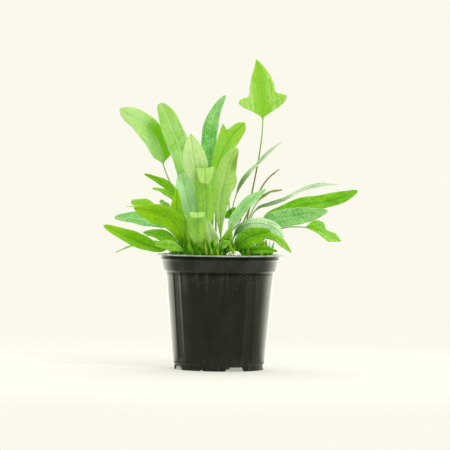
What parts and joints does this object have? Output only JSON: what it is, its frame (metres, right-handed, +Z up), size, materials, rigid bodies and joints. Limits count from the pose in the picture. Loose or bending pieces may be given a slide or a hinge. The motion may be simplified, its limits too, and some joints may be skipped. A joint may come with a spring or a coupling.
{
  "type": "potted blue star fern",
  "caption": "Young fern with broad, narrow and lobed blue-green fronds that rise from creeping rhizomes in a thin black nursery pot with a rolled rim and drain notches.",
  "frame": {"origin": "middle of the pot's central foot pad, on the surface that the pot stands on", "axes": "+Z up through the pot, +X to the viewer's right, +Y away from the viewer"},
  "size_m": [0.2194, 0.1502, 0.2701],
  "materials": {
    "black_plastic": "thin moulded plastic, satin, with dust and dried water marks",
    "potting_mix": "loose bark and peat",
    "rhizome_scales": "golden brown hairy scales",
    "frond_pale": "matt waxy leaf, pale green",
    "frond_fresh": "matt waxy leaf, fresh green",
    "frond_blue": "matt waxy leaf with a blue-grey bloom",
    "frond_deep": "matt waxy leaf, deep green",
    "frond_yellow": "matt waxy leaf, yellow green",
    "frond_olive": "matt leaf, olive brown"
  },
  "bodies": {
    "root": {"pot": "black_plastic", "potting_mix": "potting_mix", "rhizome_front": "rhizome_scales", "rhizome_back": "rhizome_scales", "rhizome_far": "rhizome_scales", "crozier": "frond_yellow", "frond_left_yellow": "frond_yellow", "frond_rim_left": "frond_fresh", "frond_front_fold": "frond_fresh", "frond_middle_pale": "frond_pale", "frond_small_pale": "frond_pale", "frond_right_arch": "frond_blue", "frond_right_inner": "frond_deep", "frond_rim_right": "frond_deep", "frond_right_droop": "frond_fresh", "frond_left_low": "frond_yellow", "frond_left_blue": "frond_blue", "frond_left_tall": "frond_pale", "frond_left_broad": "frond_blue", "frond_middle_arched": "frond_pale", "frond_right_broad": "frond_fresh", "frond_right_pale": "frond_pale", "frond_right_yellow": "frond_yellow", "frond_right_blue": "frond_blue", "frond_right_big": "frond_deep", "frond_left_thin": "frond_fresh", "frond_left_round": "frond_fresh", "frond_left_upright": "frond_fresh", "frond_left_narrow": "frond_deep", "frond_middle_blue": "frond_blue", "frond_right_forked": "frond_fresh", "frond_right_edge_on": "frond_blue", "frond_tall_lobed": "frond_pale", "frond_right_long": "frond_pale", "frond_right_forked_low": "frond_fresh", "frond_left_dark": "frond_deep", "frond_left_edge": "frond_pale", "frond_left_side": "frond_yellow", "frond_left_pointed": "frond_yellow", "frond_left_behind": "frond_pale", "frond_small_dark": "frond_deep", "frond_right_wisp_high": "frond_olive", "frond_right_wisp_low": "frond_pale", "frond_left_inner": "frond_yellow", "frond_left_front": "frond_fresh", "frond_left_fill": "frond_deep", "frond_centre_right": "frond_fresh", "frond_back_right_low": "frond_fresh", "frond_back_inner": "frond_blue", "frond_back_left_tall": "frond_fresh", "frond_back_right_tall": "frond_pale", "frond_back_middle": "frond_fresh", "frond_back_left": "frond_blue", "frond_back_right": "frond_fresh", "frond_back_low": "frond_pale", "frond_back_side": "frond_fresh", "frond_middle_low": "frond_fresh", "frond_middle_behind": "frond_deep", "frond_centre_low": "frond_fresh"}
  },
  "joints": []
}
